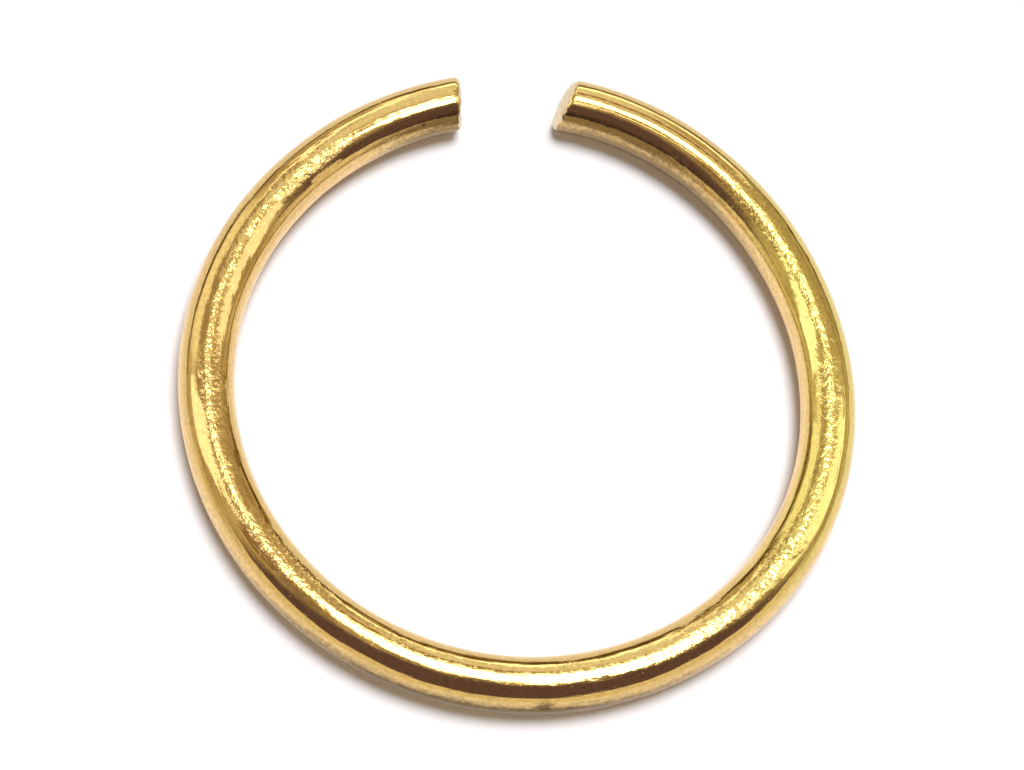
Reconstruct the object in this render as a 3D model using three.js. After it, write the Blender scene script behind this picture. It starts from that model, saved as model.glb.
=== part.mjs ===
// Nose ring: one length of round gold wire, bent into an open hoop and lying on its side.
// Millimetres, +Z up, the gap toward +Y, the middle of the underside at the origin.
import * as THREE from 'three';

// Driving dimensions
const wireDiameter = 0.8; // 20 gauge
const insideDiameter = 8.2; // across the clear hole
const gapWidth = 1.55; // straight across, between the two cut ends at the wire's axis

// The hoop was bent round by hand, so it strays a little from a circle.
// Each row adds waves round the hoop: how many, how deep, and where one has its crest.
const bends = [
  { waves: 3, depth: 0.025, crestDeg: -40 },
  { waves: 4, depth: 0.011, crestDeg: -17 },
];

// The cut ends. A lean takes that much more off the top of the wire than off its underside, and a
// skew takes that much more off the inside of the hoop than off its outside: the cutter's blades
// were held a little across the wire. A shoulder is the worn rim of the cut, as wide as it is long.
const leftEnd = { leanDeg: 3, skewDeg: 8, shoulder: 0.08 };
const rightEnd = { leanDeg: 9, skewDeg: -11, shoulder: 0.09 };

// How finely the surface is divided
const sectionSides = 20; // one side faces down, and the hoop rests on it
const hoopSteps = 120;

// Worked out from the above
const wireRadius = wireDiameter / 2;
const axisRadius = insideDiameter / 2 + wireRadius;
const halfGapAngle = Math.asin(gapWidth / 2 / axisRadius);
const leftAngle = Math.PI / 2 + halfGapAngle;
const sweep = 2 * Math.PI - 2 * halfGapAngle;
const up = new THREE.Vector3(0, 0, 1);

// The wire's axis: from the left end, counter-clockwise, to the right end.
class HoopAxis extends THREE.Curve {
  getPoint(t, target = new THREE.Vector3()) {
    const angle = leftAngle + t * sweep;
    let radius = axisRadius;
    for (const { waves, depth, crestDeg } of bends) {
      radius += depth * Math.cos(waves * (angle - THREE.MathUtils.degToRad(crestDeg)));
    }
    return target.set(radius * Math.cos(angle), radius * Math.sin(angle), 0);
  }
}

// A regular polygon round the wire's circle, its sides touching the circle at their middles.
function wireSection() {
  const cornerRadius = wireRadius / Math.cos(Math.PI / sectionSides);
  const corners = [];
  for (let i = 0; i < sectionSides; i += 1) {
    const angle = ((i + 0.5) * 2 * Math.PI) / sectionSides;
    corners.push(new THREE.Vector2(Math.cos(angle), Math.sin(angle)).multiplyScalar(cornerRadius));
  }
  return new THREE.Shape(corners);
}

// Which of the hoop's steps a point belongs to, counted from the left end.
function stepOf(point) {
  const fromLeft = Math.atan2(point.y, point.x) - leftAngle;
  const halfStep = sweep / hoopSteps / 2;
  const turned = THREE.MathUtils.euclideanModulo(fromLeft + halfStep, 2 * Math.PI) - halfStep;
  return Math.round((turned / sweep) * hoopSteps);
}

// Shapes one cut end. The rim of the face draws in by the shoulder, the next ring of points
// comes up to the shoulder's other edge, and both lean and skew. inward is +1 at the left end, where
// going along the wire is counter-clockwise, and -1 at the right end.
function cutEnd(point, stepsIn, faceCentre, end, inward) {
  if (stepsIn > 1) {
    return;
  }
  const outward = Math.hypot(point.x, point.y) - Math.hypot(faceCentre.x, faceCentre.y);
  let along = point.z * Math.tan(THREE.MathUtils.degToRad(end.leanDeg));
  along -= outward * Math.tan(THREE.MathUtils.degToRad(end.skewDeg));
  if (stepsIn === 0) {
    point.lerp(faceCentre, end.shoulder / wireRadius);
  } else {
    along += end.shoulder - (sweep * axisRadius) / hoopSteps;
  }
  point.applyAxisAngle(up, (inward * along) / axisRadius);
}

function hoopGeometry() {
  const axis = new HoopAxis();
  const geometry = new THREE.ExtrudeGeometry(wireSection(), { steps: hoopSteps, extrudePath: axis });
  const leftCentre = axis.getPoint(0);
  const rightCentre = axis.getPoint(1);
  const positions = geometry.getAttribute('position');
  const point = new THREE.Vector3();
  for (let i = 0; i < positions.count; i += 1) {
    point.fromBufferAttribute(positions, i);
    const step = stepOf(point);
    cutEnd(point, step, leftCentre, leftEnd, 1);
    cutEnd(point, hoopSteps - step, rightCentre, rightEnd, -1);
    positions.setXYZ(i, point.x, point.y, point.z);
  }
  geometry.computeVertexNormals();
  geometry.computeBoundingBox();
  return geometry;
}

const gold = new THREE.MeshStandardMaterial({ color: '#d9a634', roughness: 0.16, metalness: 1 });

const hoop = new THREE.Mesh(hoopGeometry(), gold);
hoop.name = 'wire_hoop';
const box = hoop.geometry.boundingBox;
const middle = box.getCenter(new THREE.Vector3());
hoop.position.set(-middle.x, -middle.y, -box.min.z);

const noseRing = new THREE.Group();
noseRing.add(hoop);

export default noseRing;
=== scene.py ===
# Nose ring: one length of round gold wire, bent by hand into an open hoop and lying on its side.
import math

import bpy
from mathutils import Matrix, Vector


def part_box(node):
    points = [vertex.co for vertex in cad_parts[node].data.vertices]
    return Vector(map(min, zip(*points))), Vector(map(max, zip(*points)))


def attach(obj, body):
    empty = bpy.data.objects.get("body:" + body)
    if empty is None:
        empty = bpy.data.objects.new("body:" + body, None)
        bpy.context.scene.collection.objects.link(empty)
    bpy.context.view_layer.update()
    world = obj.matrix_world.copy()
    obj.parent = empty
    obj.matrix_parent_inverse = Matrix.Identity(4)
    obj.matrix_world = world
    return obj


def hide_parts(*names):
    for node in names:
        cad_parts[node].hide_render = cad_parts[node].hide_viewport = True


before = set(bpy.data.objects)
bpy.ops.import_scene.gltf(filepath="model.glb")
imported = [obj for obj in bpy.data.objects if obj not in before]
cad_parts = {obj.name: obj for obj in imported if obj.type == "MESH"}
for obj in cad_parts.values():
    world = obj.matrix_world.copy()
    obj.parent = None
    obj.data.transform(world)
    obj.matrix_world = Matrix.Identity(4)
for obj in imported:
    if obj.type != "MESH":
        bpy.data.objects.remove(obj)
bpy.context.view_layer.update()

millimetre = 0.001


def linearColour(hexCode):  # an sRGB hex value as the linear colour that a socket holds
    channels = [int(hexCode[i:i + 2], 16) / 255 for i in (1, 3, 5)]
    return [c / 12.92 if c <= 0.04045 else ((c + 0.055) / 1.055) ** 2.4 for c in channels] + [1.0]


# Adds a node, sets it, links or fills its inputs, and gives back one of its outputs.
# A Mix node's inputs 2 and 3 are the two numbers that it mixes, and 6 and 7 the two colours.
def addNode(tree, kind, inputs=(), output=0, **settings):
    node = tree.nodes.new(kind)
    for name, value in settings.items():
        setattr(node, name, value)
    for key, value in inputs.items() if isinstance(inputs, dict) else enumerate(inputs):
        if isinstance(value, bpy.types.NodeSocket):
            tree.links.new(value, node.inputs[key])
        else:
            node.inputs[key].default_value = value
    return node.outputs[output]


# The direction of a place in the sky or on the floor: azimuth counter-clockwise from +X.
def towards(azimuthDeg, elevationDeg):
    azimuth, elevation = math.radians(azimuthDeg), math.radians(elevationDeg)
    flat = math.cos(elevation)
    return Vector((flat * math.cos(azimuth), flat * math.sin(azimuth), math.sin(elevation)))


# The wire hoop. Sizes in millimetres, angles in degrees, and the scale of a noise in waves per millimetre.
hoop = {
    "wireRadius": 0.4,       # 20 gauge wire
    "axisRadius": 4.5,       # of the circle that the wire's axis follows
    "gapWidth": 1.55,
    "leftShoulder": 0.08,    # worn rims of the two cuts
    "rightShoulder": 0.09,
    "leftLean": 3,           # how much more the cut takes off the top than off the underside
    "rightLean": 9,
    "leftSkew": 8,           # and how much more off the inside of the hoop than off its outside
    "rightSkew": -11,
    "leanFade": 0.05,        # the share of the wire over which a cut's slant dies out
    "faceRoughness": 0.03,   # the cut faces, torn by the cutter
    "faceScale": 7.0,
    "waveDepth": 0.0035,     # slow unevenness of a drawn and hand-bent wire
    "waveScale": 0.9,
    "wrinkleDepth": 0.0008,  # orange-peel wrinkles where the bend strained the gold
    "wrinkleScale": 5.5,
    "stepsAlong": 940,
    "stepsAround": 96,
    "faceSteps": 14,         # extra steps that close each end, first over the cut face
    "shoulderSteps": 8,      # and then round its rim
    "mergeDistance": 0.0005,
}

# The hoop strays a little from a circle, in waves round it.
bends = [
    {"waves": 3, "depth": 0.025, "crestDeg": -40},
    {"waves": 4, "depth": 0.011, "crestDeg": -17},
]

# Dents and raised marks. at: place round the hoop, from +X. side: place round the wire, 0 outward,
# 90 on top, 180 inward. long and wide: half sizes. depth: below the surface, negative if raised.
marks = [
    {"name": "lowRub", "at": 262.0, "side": 84, "long": 3.0, "wide": 0.26, "depth": 0.006},
    {"name": "crease", "at": 325.5, "side": 104, "long": 0.05, "wide": 0.16, "depth": 0.008},
    {"name": "creaseLip", "at": 327.0, "side": 106, "long": 0.06, "wide": 0.15, "depth": -0.004},
    {"name": "rub", "at": 318.0, "side": 96, "long": 0.60, "wide": 0.26, "depth": 0.005},
    {"name": "outerNick", "at": 115.0, "side": 28, "long": 0.07, "wide": 0.10, "depth": 0.014},
    {"name": "innerLump", "at": 108.6, "side": 148, "long": 0.07, "wide": 0.06, "depth": -0.012},
    {"name": "innerNick", "at": 115.2, "side": 150, "long": 0.06, "wide": 0.07, "depth": 0.012},
    {"name": "lowDent", "at": 271.5, "side": 22, "long": 0.14, "wide": 0.09, "depth": 0.008},
    {"name": "flankDent", "at": 178.0, "side": 10, "long": 0.12, "wide": 0.07, "depth": 0.008},
    {"name": "cutCorner", "at": 440.1, "side": 172, "long": 0.12, "wide": 0.24, "depth": 0.050},
    {"name": "cutBurr", "at": 440.4, "side": 205, "long": 0.06, "wide": 0.08, "depth": -0.020},
]

halfGap = math.asin(hoop["gapWidth"] / 2 / hoop["axisRadius"])
startAngle = math.pi / 2 + halfGap
wireLength = (2 * math.pi - 2 * halfGap) * hoop["axisRadius"]


def lengthTo(atDeg):  # how far along the straight wire a place round the hoop is
    return (math.radians(atDeg) - startAngle) * hoop["axisRadius"]


# The distance of each point from a mark, a stain or a patch of painted shade, where 1 is its edge
def awayFrom(tree, mark, place):
    side = math.radians(mark["side"])
    middle = (lengthTo(mark["at"]), hoop["wireRadius"] * math.cos(side), hoop["wireRadius"] * math.sin(side))
    away = addNode(tree, "ShaderNodeVectorMath", [place, middle], operation="SUBTRACT")
    away = addNode(tree, "ShaderNodeVectorMath",
                   [away, (mark["long"], mark["wide"], mark["wide"])], operation="DIVIDE")
    return addNode(tree, "ShaderNodeVectorMath", [away], output="Value", operation="LENGTH")


# Lays a grid out as a straight closed wire, marks it, and bends it round the hoop.
def bentWireTree(material):
    tree = bpy.data.node_groups.new("bentWire", "GeometryNodeTree")
    tree.interface.new_socket("Geometry", in_out="OUTPUT", socket_type="NodeSocketGeometry")
    sizes = {
        "Wire Radius": hoop["wireRadius"],
        "Axis Radius": hoop["axisRadius"],
        "Wire Length": wireLength,
        "Left Shoulder": hoop["leftShoulder"],
        "Right Shoulder": hoop["rightShoulder"],
        "Left Lean": math.tan(math.radians(hoop["leftLean"])),
        "Right Lean": math.tan(math.radians(hoop["rightLean"])),
        "Left Skew": math.tan(math.radians(hoop["leftSkew"])),
        "Right Skew": math.tan(math.radians(hoop["rightSkew"])),
        "Face Roughness": hoop["faceRoughness"],
        "Wave Depth": hoop["waveDepth"],
        "Wrinkle Depth": hoop["wrinkleDepth"],
    }
    for name, value in sizes.items():
        socket = tree.interface.new_socket(name, in_out="INPUT", socket_type="NodeSocketFloat")
        socket.default_value = value
    given = tree.nodes.new("NodeGroupInput").outputs

    # The grid: along it from 0 to 1, and round it from 0 to 1, starting underneath
    endSteps = hoop["faceSteps"] + hoop["shoulderSteps"]
    allSteps = hoop["stepsAlong"] + 2 * endSteps
    faceShare = hoop["faceSteps"] / allSteps
    endShare = endSteps / allSteps
    grid = addNode(tree, "GeometryNodeMeshGrid", [1, 1, allSteps + 1, hoop["stepsAround"] + 1]).node
    gridPlace = addNode(tree, "ShaderNodeSeparateXYZ", [grid.outputs["UV Map"]]).node
    along, around = gridPlace.outputs["X"], gridPlace.outputs["Y"]
    isRight = addNode(tree, "ShaderNodeMath", [along, 0.5], operation="GREATER_THAN")
    endSign = addNode(tree, "ShaderNodeMath", [isRight, -2, 1], operation="MULTIPLY_ADD")
    shoulder = addNode(tree, "ShaderNodeMapRange",
                       [isRight, 0, 1, given["Left Shoulder"], given["Right Shoulder"]])
    lean = addNode(tree, "ShaderNodeMapRange", [isRight, 0, 1, given["Left Lean"], given["Right Lean"]])
    skew = addNode(tree, "ShaderNodeMapRange", [isRight, 0, 1, given["Left Skew"], given["Right Skew"]])

    # The closed ends: out over the cut face, then a quarter turn round the shoulder
    fromRight = addNode(tree, "ShaderNodeMath", [1, along], operation="SUBTRACT")
    fromEnd = addNode(tree, "ShaderNodeMath", [along, fromRight], operation="MINIMUM")
    overFace = addNode(tree, "ShaderNodeMapRange", [fromEnd, 0, faceShare, 0, 1])
    turn = addNode(tree, "ShaderNodeMapRange", [fromEnd, faceShare, endShare, 0, math.pi / 2])
    turnSine = addNode(tree, "ShaderNodeMath", [turn], operation="SINE")
    turnCosine = addNode(tree, "ShaderNodeMath", [turn], operation="COSINE")
    flatRadius = addNode(tree, "ShaderNodeMath", [given["Wire Radius"], shoulder], operation="SUBTRACT")
    rimRadius = addNode(tree, "ShaderNodeMath", [turnSine, shoulder, 0], operation="MULTIPLY_ADD")
    radius = addNode(tree, "ShaderNodeMath", [overFace, flatRadius, rimRadius], operation="MULTIPLY_ADD")

    # Distance along the wire
    shoulders = addNode(tree, "ShaderNodeMath",
                        [given["Left Shoulder"], given["Right Shoulder"]], operation="ADD")
    straightLength = addNode(tree, "ShaderNodeMath",
                             [given["Wire Length"], shoulders], operation="SUBTRACT")
    straight = addNode(tree, "ShaderNodeMapRange", [along, endShare, 1 - endShare, 0, straightLength])
    shoulderGap = addNode(tree, "ShaderNodeMath", [turnCosine, shoulder], operation="MULTIPLY")
    shoulderGap = addNode(tree, "ShaderNodeMath", [shoulderGap, endSign], operation="MULTIPLY")
    distance = addNode(tree, "ShaderNodeMath", [straight, given["Left Shoulder"]], operation="ADD")
    distance = addNode(tree, "ShaderNodeMath", [distance, shoulderGap], operation="SUBTRACT")

    # Place in the straight wire: X along it, Y outward once bent, Z up
    angle = addNode(tree, "ShaderNodeMath", [around, 2 * math.pi, -math.pi / 2], operation="MULTIPLY_ADD")
    sine = addNode(tree, "ShaderNodeMath", [angle], operation="SINE")
    cosine = addNode(tree, "ShaderNodeMath", [angle], operation="COSINE")
    outward = addNode(tree, "ShaderNodeMath", [cosine, radius], operation="MULTIPLY")
    height = addNode(tree, "ShaderNodeMath", [sine, radius], operation="MULTIPLY")
    wirePlace = addNode(tree, "ShaderNodeCombineXYZ", [distance, outward, height])
    mesh = addNode(tree, "GeometryNodeSetPosition",
                   {"Geometry": grid.outputs["Mesh"], "Position": wirePlace})
    mesh = addNode(tree, "GeometryNodeStoreNamedAttribute",
                   {"Geometry": mesh, "Name": "wirePlace", "Value": wirePlace},
                   data_type="FLOAT_VECTOR", domain="POINT")
    cutShare = addNode(tree, "ShaderNodeMapRange", [turn, 0, math.pi / 2, 1, 0])
    mesh = addNode(tree, "GeometryNodeStoreNamedAttribute",
                   {"Geometry": mesh, "Name": "cutFace", "Value": cutShare},
                   data_type="FLOAT", domain="POINT")

    # Unevenness and marks, in and out from the wire's axis
    place = addNode(tree, "GeometryNodeInputPosition")
    waves = addNode(tree, "ShaderNodeTexNoise",
                    {"Vector": place, "Scale": hoop["waveScale"], "Detail": 1.0})
    waves = addNode(tree, "ShaderNodeMapRange", [waves, 0.25, 0.75, -1, 1])
    wrinkles = addNode(tree, "ShaderNodeTexNoise",
                       {"Vector": place, "Scale": hoop["wrinkleScale"], "Detail": 2.0})
    wrinkles = addNode(tree, "ShaderNodeMapRange", [wrinkles, 0.25, 0.75, -1, 1])
    raised = addNode(tree, "ShaderNodeMath", [waves, given["Wave Depth"]], operation="MULTIPLY")
    raised = addNode(tree, "ShaderNodeMath",
                     [wrinkles, given["Wrinkle Depth"], raised], operation="MULTIPLY_ADD")
    for mark in marks:
        dent = addNode(tree, "ShaderNodeMapRange", [awayFrom(tree, mark, place), 0, 1, mark["depth"], 0],
                       interpolation_type="SMOOTHSTEP")
        raised = addNode(tree, "ShaderNodeMath", [raised, dent], operation="SUBTRACT")
    acrossWire = addNode(tree, "ShaderNodeVectorMath", [place, (0, 1, 1)], operation="MULTIPLY")
    acrossWire = addNode(tree, "ShaderNodeVectorMath",
                         {0: acrossWire, "Scale": 1 / hoop["wireRadius"]}, operation="SCALE")
    push = addNode(tree, "ShaderNodeVectorMath", {0: acrossWire, "Scale": raised}, operation="SCALE")
    mesh = addNode(tree, "GeometryNodeSetPosition", {"Geometry": mesh, "Offset": push})

    # The cuts: torn faces, and the lean and skew of each
    torn = addNode(tree, "ShaderNodeTexNoise",
                   {"Vector": place, "Scale": hoop["faceScale"], "Detail": 3.0})
    torn = addNode(tree, "ShaderNodeMapRange", [torn, 0.3, 0.7, -1, 1])
    torn = addNode(tree, "ShaderNodeMath", [torn, given["Face Roughness"]], operation="MULTIPLY")
    torn = addNode(tree, "ShaderNodeMath", [torn, cutShare], operation="MULTIPLY")
    placeParts = addNode(tree, "ShaderNodeSeparateXYZ", [place]).node
    leaned = addNode(tree, "ShaderNodeMath", [placeParts.outputs["Z"], lean], operation="MULTIPLY")
    skewed = addNode(tree, "ShaderNodeMath", [placeParts.outputs["Y"], skew], operation="MULTIPLY")
    slant = addNode(tree, "ShaderNodeMath", [leaned, skewed], operation="SUBTRACT")
    fade = addNode(tree, "ShaderNodeMapRange", [fromEnd, endShare, hoop["leanFade"], 1, 0],
                   interpolation_type="SMOOTHSTEP")
    slant = addNode(tree, "ShaderNodeMath", [slant, fade], operation="MULTIPLY")
    slant = addNode(tree, "ShaderNodeMath", [slant, endSign, torn], operation="MULTIPLY_ADD")
    cutMove = addNode(tree, "ShaderNodeCombineXYZ", [slant, 0, 0])
    mesh = addNode(tree, "GeometryNodeSetPosition", {"Geometry": mesh, "Offset": cutMove})

    # The bend
    place = addNode(tree, "GeometryNodeInputPosition")
    placeParts = addNode(tree, "ShaderNodeSeparateXYZ", [place]).node
    hoopAngle = addNode(tree, "ShaderNodeMath",
                        [placeParts.outputs["X"], given["Axis Radius"]], operation="DIVIDE")
    hoopAngle = addNode(tree, "ShaderNodeMath", [hoopAngle, startAngle], operation="ADD")
    hoopRadius = addNode(tree, "ShaderNodeMath",
                         [placeParts.outputs["Y"], given["Axis Radius"]], operation="ADD")
    for bend in bends:
        phase = addNode(tree, "ShaderNodeMath",
                        [hoopAngle, bend["waves"], -bend["waves"] * math.radians(bend["crestDeg"])],
                        operation="MULTIPLY_ADD")
        crest = addNode(tree, "ShaderNodeMath", [phase], operation="COSINE")
        hoopRadius = addNode(tree, "ShaderNodeMath", [crest, bend["depth"], hoopRadius],
                             operation="MULTIPLY_ADD")
    hoopCosine = addNode(tree, "ShaderNodeMath", [hoopAngle], operation="COSINE")
    hoopSine = addNode(tree, "ShaderNodeMath", [hoopAngle], operation="SINE")
    hoopX = addNode(tree, "ShaderNodeMath", [hoopRadius, hoopCosine], operation="MULTIPLY")
    hoopY = addNode(tree, "ShaderNodeMath", [hoopRadius, hoopSine], operation="MULTIPLY")
    bent = addNode(tree, "ShaderNodeCombineXYZ", [hoopX, hoopY, placeParts.outputs["Z"]])
    mesh = addNode(tree, "GeometryNodeSetPosition", {"Geometry": mesh, "Position": bent})

    mesh = addNode(tree, "GeometryNodeMergeByDistance",
                   {"Geometry": mesh, "Distance": hoop["mergeDistance"]})
    mesh = addNode(tree, "GeometryNodeTransform", {"Geometry": mesh, "Scale": [millimetre] * 3})
    mesh = addNode(tree, "GeometryNodeSetShadeSmooth", {"Geometry": mesh})
    mesh = addNode(tree, "GeometryNodeRealizeInstances", {"Geometry": mesh})
    mesh = addNode(tree, "GeometryNodeSetMaterial", {"Geometry": mesh, "Material": material})
    tree.links.new(mesh, tree.nodes.new("NodeGroupOutput").inputs[0])
    return tree, sizes


# Runs the tree, keeps its result as a plain mesh, and lays that where the frame has the wire.
def makeHoop(material):
    piece = bpy.data.objects.new("goldHoop", bpy.data.meshes.new("goldHoop"))
    bpy.context.scene.collection.objects.link(piece)
    tree, sizes = bentWireTree(material)
    modifier = piece.modifiers.new("bentWire", "NODES")
    modifier.node_group = tree
    for item in tree.interface.items_tree:
        if item.item_type == "SOCKET" and item.in_out == "INPUT":
            modifier[item.identifier] = sizes[item.name]
    evaluated = piece.evaluated_get(bpy.context.evaluated_depsgraph_get())
    mesh = bpy.data.meshes.new_from_object(evaluated)
    piece.modifiers.remove(modifier)
    piece.data = mesh
    columns = list(zip(*(vertex.co for vertex in mesh.vertices)))
    meshMiddle = (Vector(map(min, columns)) + Vector(map(max, columns))) / 2
    low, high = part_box("wire_hoop")
    mesh.transform(Matrix.Translation((Vector(low) + Vector(high)) / 2 - meshMiddle))
    return piece


# Polished yellow gold, about 18 carat, drawn through a die and bent cold: mirror-like and warm, paler and
# less polished down its flanks, the paleness a painted reflection of the white floor, with faint draw lines
# along it, fine wrinkles where the bend strained the top, and pale, matt, torn faces where it was cut.
# Painted shade darkens the draw lines and pits, and a painted reflection makes one stretch greener. Sizes
# and heights in millimetres.
gold = {
    "colour": "#DBBB75",
    # the flanks' paler colour is a painted reflection of the white floor
    "flankReflectionColour": "#F2D092",
    "greenReflectionColour": "#E1CB77",  # a stretch of lighter, greener painted reflection on the gold
    "greenAt": 360,            # degrees round the hoop
    "greenLong": 2.0,          # to each side
    "greenFade": 4.5,          # and where it has died out
    "shadeColour": "#B98A4A",  # painted shade in pits and along the draw lines
    # dark stains, and painted shade for the reflected shadow of the ring
    "stainAndShadeColour": "#5A4526",
    "cutColour": "#F1E2C4",
    "roughness": 0.065,
    "strainedRoughness": 0.16,
    "flankRoughness": 0.2,
    "pitRoughness": 0.3,
    "cutRoughness": 0.55,
    "crownHeight": 0.28,       # above the wire's axis, where the top begins
    "flankHeight": 0.14,       # and where the flank has begun
    "patchScale": 1.3,         # patches that strained more and less, per millimetre
    "leastPatch": 0.45,
    "bandCentre": -0.04,       # the strained band: how far outward of the top line it is
    "bandWander": 0.05,
    "bandWidth": 0.20,
    "leastStrained": 0.04,
    "grainSize": 0.05,         # one grain to the next
    "grainHeight": 0.010,
    "wrinkleSize": 0.13,
    "wrinkleHeight": 0.010,
    "squeeze": 0.75,           # grain and wrinkles are a little longer along the wire than across it
    "drawLineSize": 0.055,
    "drawLineSqueeze": 0.05,
    "drawLineShade": 0.35,     # how much painted shade darkens the draw lines down the flanks
    "drawLineHeight": 0.002,
    "pitSize": 0.06,
    "pitHeight": 0.002,
    "mostPitted": 0.7,
}

# Stretches that were gripped or rubbed smooth, so that they show few wrinkles.
# at: degrees round the hoop. long: millimetres to each side. left: how much of the wrinkles is left.
smoothStretches = [
    {"name": "leftEnd", "at": 100, "long": 2.1, "left": 0.05},
    {"name": "bottom", "at": 261, "long": 2.7, "left": 0.45},
    {"name": "rightEnd", "at": 440, "long": 2.9, "left": 0.1},
]

# Dark marks in the polish, placed as the dents are: stains and a scratch, plus painted shade, which is the
# dark reflection of the ring's own shadow on the floor painted into the colour. strength: how much of the
# colour they take.
stainsAndShade = [
    {"name": "lowSmudge", "at": 271.6, "side": 27, "long": 0.16, "wide": 0.10, "strength": 0.8},
    {"name": "rimScratch", "at": 177.0, "side": 6, "long": 0.10, "wide": 0.03, "strength": 0.6},
    {"name": "cutGrime", "at": 100.4, "side": 150, "long": 0.06, "wide": 0.30, "strength": 0.5},
    # Painted shade: the ring's shadow on the floor as the wire would reflect it, painted low on the inner
    # side near both ends and low on the outer side at the bottom
    {"name": "leftShadowReflection", "at": 104.0, "side": 182, "long": 1.5, "wide": 0.22, "strength": 0.75},
    {"name": "leftShadowReflectionEdge", "at": 103.0, "side": 145, "long": 1.6, "wide": 0.13, "strength": 0.8},
    {"name": "rightShadowReflection", "at": 420.0, "side": 184, "long": 3.0, "wide": 0.22, "strength": 0.75},
    {"name": "rightShadowReflectionEdge", "at": 430.0, "side": 145, "long": 2.6, "wide": 0.13, "strength": 0.8},
    {"name": "lowShadowReflection", "at": 262.0, "side": 6, "long": 4.4, "wide": 0.18, "strength": 0.9},
]


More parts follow.
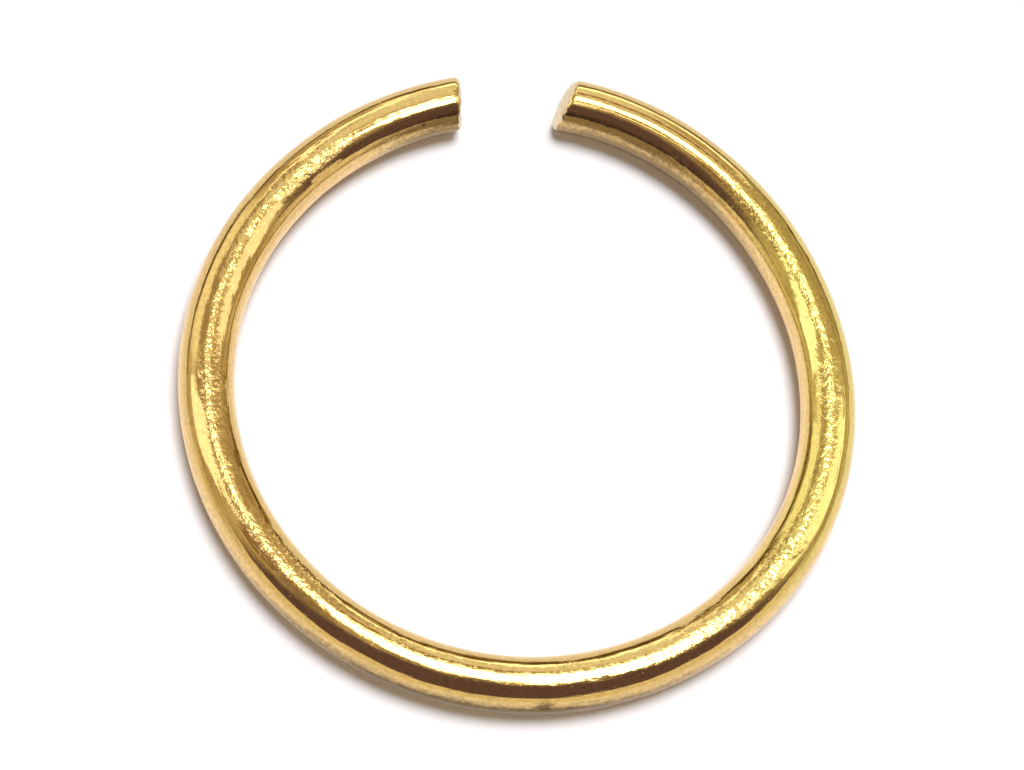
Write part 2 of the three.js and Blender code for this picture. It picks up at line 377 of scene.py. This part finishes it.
def makeGold():
    material = bpy.data.materials.new("polishedYellowGold")
    material.use_nodes = True
    tree = material.node_tree
    shader = tree.nodes["Principled BSDF"]
    shader.inputs["Metallic"].default_value = 1.0
    place = addNode(tree, "ShaderNodeAttribute", output="Vector", attribute_name="wirePlace")
    cutFace = addNode(tree, "ShaderNodeAttribute", output="Fac", attribute_name="cutFace")
    placeParts = addNode(tree, "ShaderNodeSeparateXYZ", [place]).node
    along, outward, height = (placeParts.outputs[axis] for axis in "XYZ")

    # The top of the wire, and where it is strained: in a patchy band that wanders along the top, and
    # little on the smooth stretches
    crown = addNode(tree, "ShaderNodeMapRange", [height, gold["flankHeight"], gold["crownHeight"], 0, 1],
                    interpolation_type="SMOOTHSTEP")
    patchNoise = addNode(tree, "ShaderNodeTexNoise",
                         {"Vector": place, "Scale": gold["patchScale"], "Detail": 2.0})
    patches = addNode(tree, "ShaderNodeMapRange", [patchNoise, 0.36, 0.6, gold["leastPatch"], 1])
    wander = addNode(tree, "ShaderNodeMapRange",
                     [patchNoise, 0.3, 0.7, -gold["bandCentre"] - gold["bandWander"],
                      -gold["bandCentre"] + gold["bandWander"]], clamp=False)
    offBand = addNode(tree, "ShaderNodeMath", [outward, wander], operation="ADD")
    offBand = addNode(tree, "ShaderNodeMath", [offBand], operation="ABSOLUTE")
    band = addNode(tree, "ShaderNodeMapRange",
                   [offBand, 0.5 * gold["bandWidth"], 1.1 * gold["bandWidth"], 1, 0],
                   interpolation_type="SMOOTHSTEP")
    strained = addNode(tree, "ShaderNodeMath", [crown, patches], operation="MULTIPLY")
    strained = addNode(tree, "ShaderNodeMath", [strained, band], operation="MULTIPLY")
    for stretch in smoothStretches:
        away = addNode(tree, "ShaderNodeMath", [along, lengthTo(stretch["at"])], operation="SUBTRACT")
        away = addNode(tree, "ShaderNodeMath", [away], operation="ABSOLUTE")
        rough = addNode(tree, "ShaderNodeMapRange",
                        [away, 0.75 * stretch["long"], 1.2 * stretch["long"], stretch["left"], 1],
                        interpolation_type="SMOOTHSTEP")
        strained = addNode(tree, "ShaderNodeMath", [strained, rough], operation="MULTIPLY")
    strained = addNode(tree, "ShaderNodeMath", [strained, gold["leastStrained"]], operation="MAXIMUM")

    # Relief, each kind on top of the one before it
    squeezed = addNode(tree, "ShaderNodeMapping", {"Vector": place, "Scale": (gold["squeeze"], 1, 1)})
    wrinkles = addNode(tree, "ShaderNodeTexNoise",
                       {"Vector": squeezed, "Scale": 1 / gold["wrinkleSize"], "Detail": 1.0})
    grain = addNode(tree, "ShaderNodeTexNoise",
                    {"Vector": squeezed, "Scale": 1 / gold["grainSize"], "Detail": 2.0})
    lengthwise = addNode(tree, "ShaderNodeMapping",
                         {"Vector": place, "Scale": (gold["drawLineSqueeze"], 1, 1)})
    drawLines = addNode(tree, "ShaderNodeTexNoise",
                        {"Vector": lengthwise, "Scale": 1 / gold["drawLineSize"], "Detail": 2.0})
    pits = addNode(tree, "ShaderNodeTexNoise",
                   {"Vector": place, "Scale": 1 / gold["pitSize"], "Detail": 3.0, "Roughness": 0.6})
    pitted = addNode(tree, "ShaderNodeMapRange", [pits, 0.67, 0.78, 0, gold["mostPitted"]])
    bumped = addNode(tree, "ShaderNodeBump",
                     {"Height": drawLines, "Distance": gold["drawLineHeight"] * millimetre})
    for relief, reliefHeight in ((wrinkles, gold["wrinkleHeight"]), (grain, gold["grainHeight"])):
        relief = addNode(tree, "ShaderNodeMath", [relief, strained], operation="MULTIPLY")
        bumped = addNode(tree, "ShaderNodeBump",
                         {"Height": relief, "Distance": reliefHeight * millimetre, "Normal": bumped})
    bumped = addNode(tree, "ShaderNodeBump",
                     {"Height": pitted, "Distance": gold["pitHeight"] * millimetre, "Normal": bumped},
                     invert=True)
    tree.links.new(bumped, shader.inputs["Normal"])

    # Colour, with painted reflections and shade: a greener stretch on the right side, a pale reflection of
    # the floor down the flanks, and darker draw lines and pits
    # a painted greener reflection on the top of the wire around the right side
    fromGreen = addNode(tree, "ShaderNodeMath", [along, lengthTo(gold["greenAt"])], operation="SUBTRACT")
    fromGreen = addNode(tree, "ShaderNodeMath", [fromGreen], operation="ABSOLUTE")
    greenReflection = addNode(tree, "ShaderNodeMapRange", [fromGreen, gold["greenLong"], gold["greenFade"], 1, 0],
                    interpolation_type="SMOOTHSTEP")
    crownColour = addNode(tree, "ShaderNodeMix",
                          {"Factor": greenReflection, 6: linearColour(gold["colour"]),
                           7: linearColour(gold["greenReflectionColour"])}, output=2, data_type="RGBA")
    # painted shade along the draw lines down the flanks
    shaded = addNode(tree, "ShaderNodeMapRange", [drawLines, 0.45, 0.65, 0, gold["drawLineShade"]])
    flankReflectionColour = addNode(tree, "ShaderNodeMix",
                          {"Factor": shaded, 6: linearColour(gold["flankReflectionColour"]),
                           7: linearColour(gold["shadeColour"])}, output=2, data_type="RGBA")
    colour = addNode(tree, "ShaderNodeMix", {"Factor": crown, 6: flankReflectionColour, 7: crownColour},
                     output=2, data_type="RGBA")
    speck = addNode(tree, "ShaderNodeMapRange", [grain, 0.3, 0.7, 0.88, 1.1])
    colour = addNode(tree, "ShaderNodeVectorMath", {0: colour, "Scale": speck}, operation="SCALE")
    # painted shade in the pits
    colour = addNode(tree, "ShaderNodeMix",
                     {"Factor": pitted, 6: colour, 7: linearColour(gold["shadeColour"])},
                     output=2, data_type="RGBA")
    # Stains, and painted shade for the reflected shadow of the ring, each darkening the colour
    for stainAndShade in stainsAndShade:  # ragged along the grain and the draw lines
        ragged = addNode(tree, "ShaderNodeMath", [grain, 0.5, awayFrom(tree, stainAndShade, place)],
                         operation="MULTIPLY_ADD")
        ragged = addNode(tree, "ShaderNodeMath", [drawLines, 0.9, ragged], operation="MULTIPLY_ADD")
        stainedAndShaded = addNode(tree, "ShaderNodeMapRange", [ragged, 1.1, 1.8, stainAndShade["strength"], 0])
        colour = addNode(tree, "ShaderNodeMix",
                         {"Factor": stainedAndShaded, 6: colour, 7: linearColour(gold["stainAndShadeColour"])},
                         output=2, data_type="RGBA")
    torn = addNode(tree, "ShaderNodeMath", [wrinkles, 0.8, cutFace], operation="MULTIPLY_ADD")
    torn = addNode(tree, "ShaderNodeMapRange", [torn, 0.72, 0.9, 0, 1])
    colour = addNode(tree, "ShaderNodeMix",
                     {"Factor": torn, 6: colour, 7: linearColour(gold["cutColour"])},
                     output=2, data_type="RGBA")
    tree.links.new(colour, shader.inputs["Base Color"])

    # Roughness: polished on top, duller where strained, down the flanks, in pits and on the cut faces
    roughness = addNode(tree, "ShaderNodeMapRange",
                        [strained, 0, 0.7, gold["roughness"], gold["strainedRoughness"]])
    roughness = addNode(tree, "ShaderNodeMix", {0: crown, 2: gold["flankRoughness"], 3: roughness})
    roughness = addNode(tree, "ShaderNodeMix", {0: pitted, 2: roughness, 3: gold["pitRoughness"]})
    roughness = addNode(tree, "ShaderNodeMix", {0: torn, 2: roughness, 3: gold["cutRoughness"]})
    tree.links.new(roughness, shader.inputs["Roughness"])
    return material


goldHoop = makeHoop(makeGold())
print("wire hoop:", len(goldHoop.data.polygons), "faces")


# The studio: a pale floor, a soft overhead light and even daylight.
studio = {
    "floorRadius": 0.6,          # metres
    "floorColour": "#F1F1F6",
    "backdropStrength": 1.0,     # what the camera sees past the floor
    "daylightColour": "#FFF3E3",
    "daylightStrength": 0.26,    # on the floor, from all round
    "sunStrength": 3.0,          # the soft light that casts the shadow
    "sunAngle": 28,              # degrees across
    "sunAzimuth": 50,
    "sunElevation": 80,
}

# The gridded card above the ring's near side, which the wire mirrors as its broad white streak.
# Millimetres and degrees. Its grid keeps its light off the rest of the ring.
card = {
    "x": 1.5,
    "y": -2.0,
    "height": 14.4,
    "wide": 6.6,
    "deep": 9.2,
    "aimX": 0.3,
    "aimY": -4.45,
    "spread": 44,
    "strength": 8.5,
}

# The warm room that the wire mirrors. Heights and sides are parts of a direction's length.
room = {
    "brightness": 1.25,
    "darkColour": "#A08E78",
    "midColour": "#BDB095",
    "lightColour": "#DECFB2",
    "bandScale": 2.6,
    "dimColour": "#6E5A66",   # the dim side, toward -Y
    "dimFrom": -0.06,         # where it begins
    "dimTo": -0.40,           # and where it is full
    "lowColour": "#FFF4E4",   # low down on the dim side
    "lowTop": 0.32,
    "lowFade": 0.04,
    "edgeColour": "#6A5236",  # the dark edge of the room, just above the floor, toward +Y
    "edgeTop": 0.16,
    "edgeFrom": 0.3,
    "edgeTo": 0.6,
}

# Soft-edged windows and dark screens in the room, each in front of the ones before it.
# Degrees, and soft: how much of the half size is edge.
windows = [
    {"name": "farScreen", "azimuth": 112, "elevation": 51, "across": 36, "tall": 26,
     "soft": 0.4, "colour": "#B3A188", "strength": 1.1},
    {"name": "leftGlow", "azimuth": 138, "elevation": 25, "across": 28, "tall": 24,
     "soft": 0.6, "colour": "#FFFCF0", "strength": 1.3},
    {"name": "leftScreen", "azimuth": 180, "elevation": 63, "across": 20, "tall": 26,
     "soft": 0.5, "colour": "#A58A70", "strength": 0.9},
    {"name": "farGlow", "azimuth": 82, "elevation": 45, "across": 28, "tall": 40,
     "soft": 0.5, "colour": "#F8F8F0", "strength": 1.15},
    {"name": "farWindow", "azimuth": 76, "elevation": 19, "across": 44, "tall": 9,
     "soft": 0.3, "colour": "#FFFFFF", "strength": 2.4},
    {"name": "farRise", "azimuth": 107, "elevation": 31, "across": 22, "tall": 9,
     "soft": 0.4, "colour": "#FFFFFF", "strength": 2.0},
    {"name": "leftWindow", "azimuth": 166, "elevation": 44, "across": 17, "tall": 44,
     "soft": 0.4, "colour": "#FFFFFF", "strength": 1.85},
    {"name": "rightWindow", "azimuth": 8, "elevation": 44, "across": 24, "tall": 38,
     "soft": 0.3, "colour": "#FFFFFF", "strength": 1.65},
    {"name": "farBeam", "azimuth": 63, "elevation": 53, "across": 20, "tall": 8,
     "soft": 0.6, "colour": "#B08A5C", "strength": 1.0},
    {"name": "leftSkylight", "azimuth": 351.5, "elevation": 74.5, "across": 19, "tall": 12.5,
     "soft": 0.12, "colour": "#FFFFFF", "strength": 6.5},
    {"name": "endSkylight", "azimuth": 66, "elevation": 76, "across": 9, "tall": 10,
     "soft": 0.15, "colour": "#FFFFFF", "strength": 9.0},
    {"name": "rightSkylight", "azimuth": 88.5, "elevation": 78.4, "across": 12, "tall": 15.5,
     "soft": 0.12, "colour": "#FFFFFF", "strength": 5.0},
]


def makeFloor():
    bpy.ops.mesh.primitive_circle_add(vertices=96, radius=studio["floorRadius"], fill_type="NGON")
    floor = bpy.context.object
    floor.name = "floor"
    paper = bpy.data.materials.new("whitePaper")  # plain matt card
    paper.use_nodes = True
    shader = paper.node_tree.nodes["Principled BSDF"]
    shader.inputs["Base Color"].default_value = linearColour(studio["floorColour"])
    shader.inputs["Roughness"].default_value = 0.9
    shader.inputs["Specular IOR Level"].default_value = 0.1
    floor.data.materials.append(paper)


def makeLights():
    sun = bpy.data.objects.new("overheadLight", bpy.data.lights.new("overheadLight", "SUN"))
    sun.data.energy = studio["sunStrength"]
    sun.data.angle = math.radians(studio["sunAngle"])
    direction = towards(studio["sunAzimuth"], studio["sunElevation"])
    sun.rotation_euler = direction.to_track_quat("Z", "Y").to_euler()
    sun.visible_glossy = False
    bpy.context.scene.collection.objects.link(sun)

    light = bpy.data.lights.new("brightCard", "AREA")
    light.shape = "RECTANGLE"
    light.size = card["wide"] * millimetre
    light.size_y = card["deep"] * millimetre
    light.spread = math.radians(card["spread"])
    gathered = 1 - light.spread / 2 / math.tan(light.spread / 2)  # the grid gathers its light by this
    light.energy = card["strength"] * math.pi * light.size * light.size_y * gathered
    brightCard = bpy.data.objects.new("brightCard", light)
    brightCard.location = Vector((card["x"], card["y"], card["height"])) * millimetre
    aim = Vector((card["aimX"], card["aimY"], hoop["wireRadius"])) * millimetre
    brightCard.rotation_euler = (brightCard.location - aim).to_track_quat("Z", "Y").to_euler()
    brightCard.visible_camera = False
    brightCard.visible_diffuse = False
    bpy.context.scene.collection.objects.link(brightCard)


# How much of a window lies in each direction, from 0 outside it to 1 within its soft edge
def windowMask(tree, window, direction):
    turned = addNode(tree, "ShaderNodeVectorRotate",
                     {"Vector": direction, "Angle": math.radians(-window["azimuth"])},
                     rotation_type="Z_AXIS")
    turned = addNode(tree, "ShaderNodeVectorRotate",
                     {"Vector": turned, "Angle": math.radians(window["elevation"])},
                     rotation_type="Y_AXIS")
    ahead = addNode(tree, "ShaderNodeSeparateXYZ", [turned]).node
    mask = addNode(tree, "ShaderNodeMath", [ahead.outputs["X"], 0], operation="GREATER_THAN")
    for axis, size in (("Y", window["across"]), ("Z", window["tall"])):
        halfSize = math.tan(math.radians(size / 2))
        outside, within = (1 + window["soft"] / 2) * halfSize, (1 - window["soft"] / 2) * halfSize
        slope = addNode(tree, "ShaderNodeMath", [ahead.outputs[axis], ahead.outputs["X"]],
                        operation="DIVIDE")
        slope = addNode(tree, "ShaderNodeMath", [slope], operation="ABSOLUTE")
        inside = addNode(tree, "ShaderNodeMapRange", [slope, outside, within, 0, 1],
                         interpolation_type="SMOOTHSTEP")
        mask = addNode(tree, "ShaderNodeMath", [mask, inside], operation="MULTIPLY")
    return mask


# The room: seen by the camera it is plain white, it lights the floor evenly, and the wire mirrors it
def makeRoom():
    world = bpy.data.worlds.new("room")
    bpy.context.scene.world = world
    world.use_nodes = True
    world.cycles.sampling_method = "NONE"
    tree = world.node_tree
    direction = addNode(tree, "ShaderNodeTexCoord", output="Generated")
    parts = addNode(tree, "ShaderNodeSeparateXYZ", [direction]).node
    toFar, toTop = parts.outputs["Y"], parts.outputs["Z"]

    # Its walls, in soft bands, and its dim side
    banded = addNode(tree, "ShaderNodeMapping", {"Vector": direction, "Scale": (1, 1, 2)})
    bands = addNode(tree, "ShaderNodeTexNoise",
                    {"Vector": banded, "Scale": room["bandScale"], "Detail": 2.0})
    bands = addNode(tree, "ShaderNodeMapRange", [bands, 0.3, 0.7, 0, 1])
    walls = addNode(tree, "ShaderNodeValToRGB", [bands])
    ramp = walls.node.color_ramp
    ramp.elements.new(0.5)
    for element, name in zip(ramp.elements, ("darkColour", "midColour", "lightColour")):
        element.color = linearColour(room[name])
    mirrored = addNode(tree, "ShaderNodeVectorMath", {0: walls, "Scale": room["brightness"]},
                       operation="SCALE")
    low = addNode(tree, "ShaderNodeMapRange",
                  [toTop, room["lowTop"], room["lowTop"] + room["lowFade"], 1, 0])
    dimSide = addNode(tree, "ShaderNodeMix",
                      {"Factor": low, 6: linearColour(room["dimColour"]),
                       7: linearColour(room["lowColour"])}, output=2, data_type="RGBA")
    dim = addNode(tree, "ShaderNodeMapRange", [toFar, room["dimFrom"], room["dimTo"], 0, 1],
                  interpolation_type="SMOOTHSTEP")
    mirrored = addNode(tree, "ShaderNodeMix", {"Factor": dim, 6: mirrored, 7: dimSide},
                       output=2, data_type="RGBA")

    for window in windows:
        shine = [channel * window["strength"] for channel in linearColour(window["colour"])]
        mirrored = addNode(tree, "ShaderNodeMix",
                           {"Factor": windowMask(tree, window, direction), 6: mirrored, 7: shine},
                           output=2, data_type="RGBA")

    # Its dark edge
    edgeHeight = addNode(tree, "ShaderNodeMapRange", [toTop, room["edgeTop"], 0.7 * room["edgeTop"], 0, 1])
    edgeSide = addNode(tree, "ShaderNodeMapRange", [toFar, room["edgeFrom"], room["edgeTo"], 0, 1])
    edge = addNode(tree, "ShaderNodeMath", [edgeHeight, edgeSide], operation="MULTIPLY")
    mirrored = addNode(tree, "ShaderNodeMix",
                       {"Factor": edge, 6: mirrored, 7: linearColour(room["edgeColour"])},
                       output=2, data_type="RGBA")

    path = addNode(tree, "ShaderNodeLightPath").node
    daylight = [c * studio["daylightStrength"] for c in linearColour(studio["daylightColour"])]
    backdrop = [studio["backdropStrength"]] * 3 + [1]
    colour = addNode(tree, "ShaderNodeMix",
                     {"Factor": path.outputs["Is Glossy Ray"], 6: daylight, 7: mirrored},
                     output=2, data_type="RGBA")
    colour = addNode(tree, "ShaderNodeMix",
                     {"Factor": path.outputs["Is Camera Ray"], 6: colour, 7: backdrop},
                     output=2, data_type="RGBA")
    tree.links.new(colour, tree.nodes["Background"].inputs["Color"])


makeFloor()
makeLights()
makeRoom()
print("studio: floor, overhead light, bright card and room with", len(windows), "windows and screens")


# The camera, leaning over the ring from the side away from the gap
view = {
    "azimuth": 250.1,      # degrees
    "elevation": 68.0,
    "distance": 44.7,      # millimetres, from the point that it looks at
    "aimX": -0.122,        # that point, from the middle of the hoop
    "aimY": 0.005,
    "upDeg": 88.1,         # which way is up in the view
    "lens": 109.2,
    "sensor": 36,
}


def makeCamera():
    camera = bpy.data.objects.new("camera", bpy.data.cameras.new("camera"))
    camera.data.lens = view["lens"]
    camera.data.sensor_width = view["sensor"]
    camera.data.clip_start = millimetre
    camera.data.clip_end = 2000 * millimetre
    back = towards(view["azimuth"], view["elevation"])
    aim = Vector((view["aimX"], view["aimY"], hoop["wireRadius"])) * millimetre
    right = towards(view["upDeg"], 0).cross(back).normalized()
    up = back.cross(right)
    camera.matrix_world = Matrix((right, up, back)).transposed().to_4x4()
    camera.location = aim + back * view["distance"] * millimetre
    bpy.context.scene.collection.objects.link(camera)
    bpy.context.scene.camera = camera


makeCamera()
bpy.context.scene.view_settings.view_transform = "Standard"
print("camera:", view["distance"], "mm from the ring")

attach(goldHoop, "root")
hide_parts("wire_hoop")
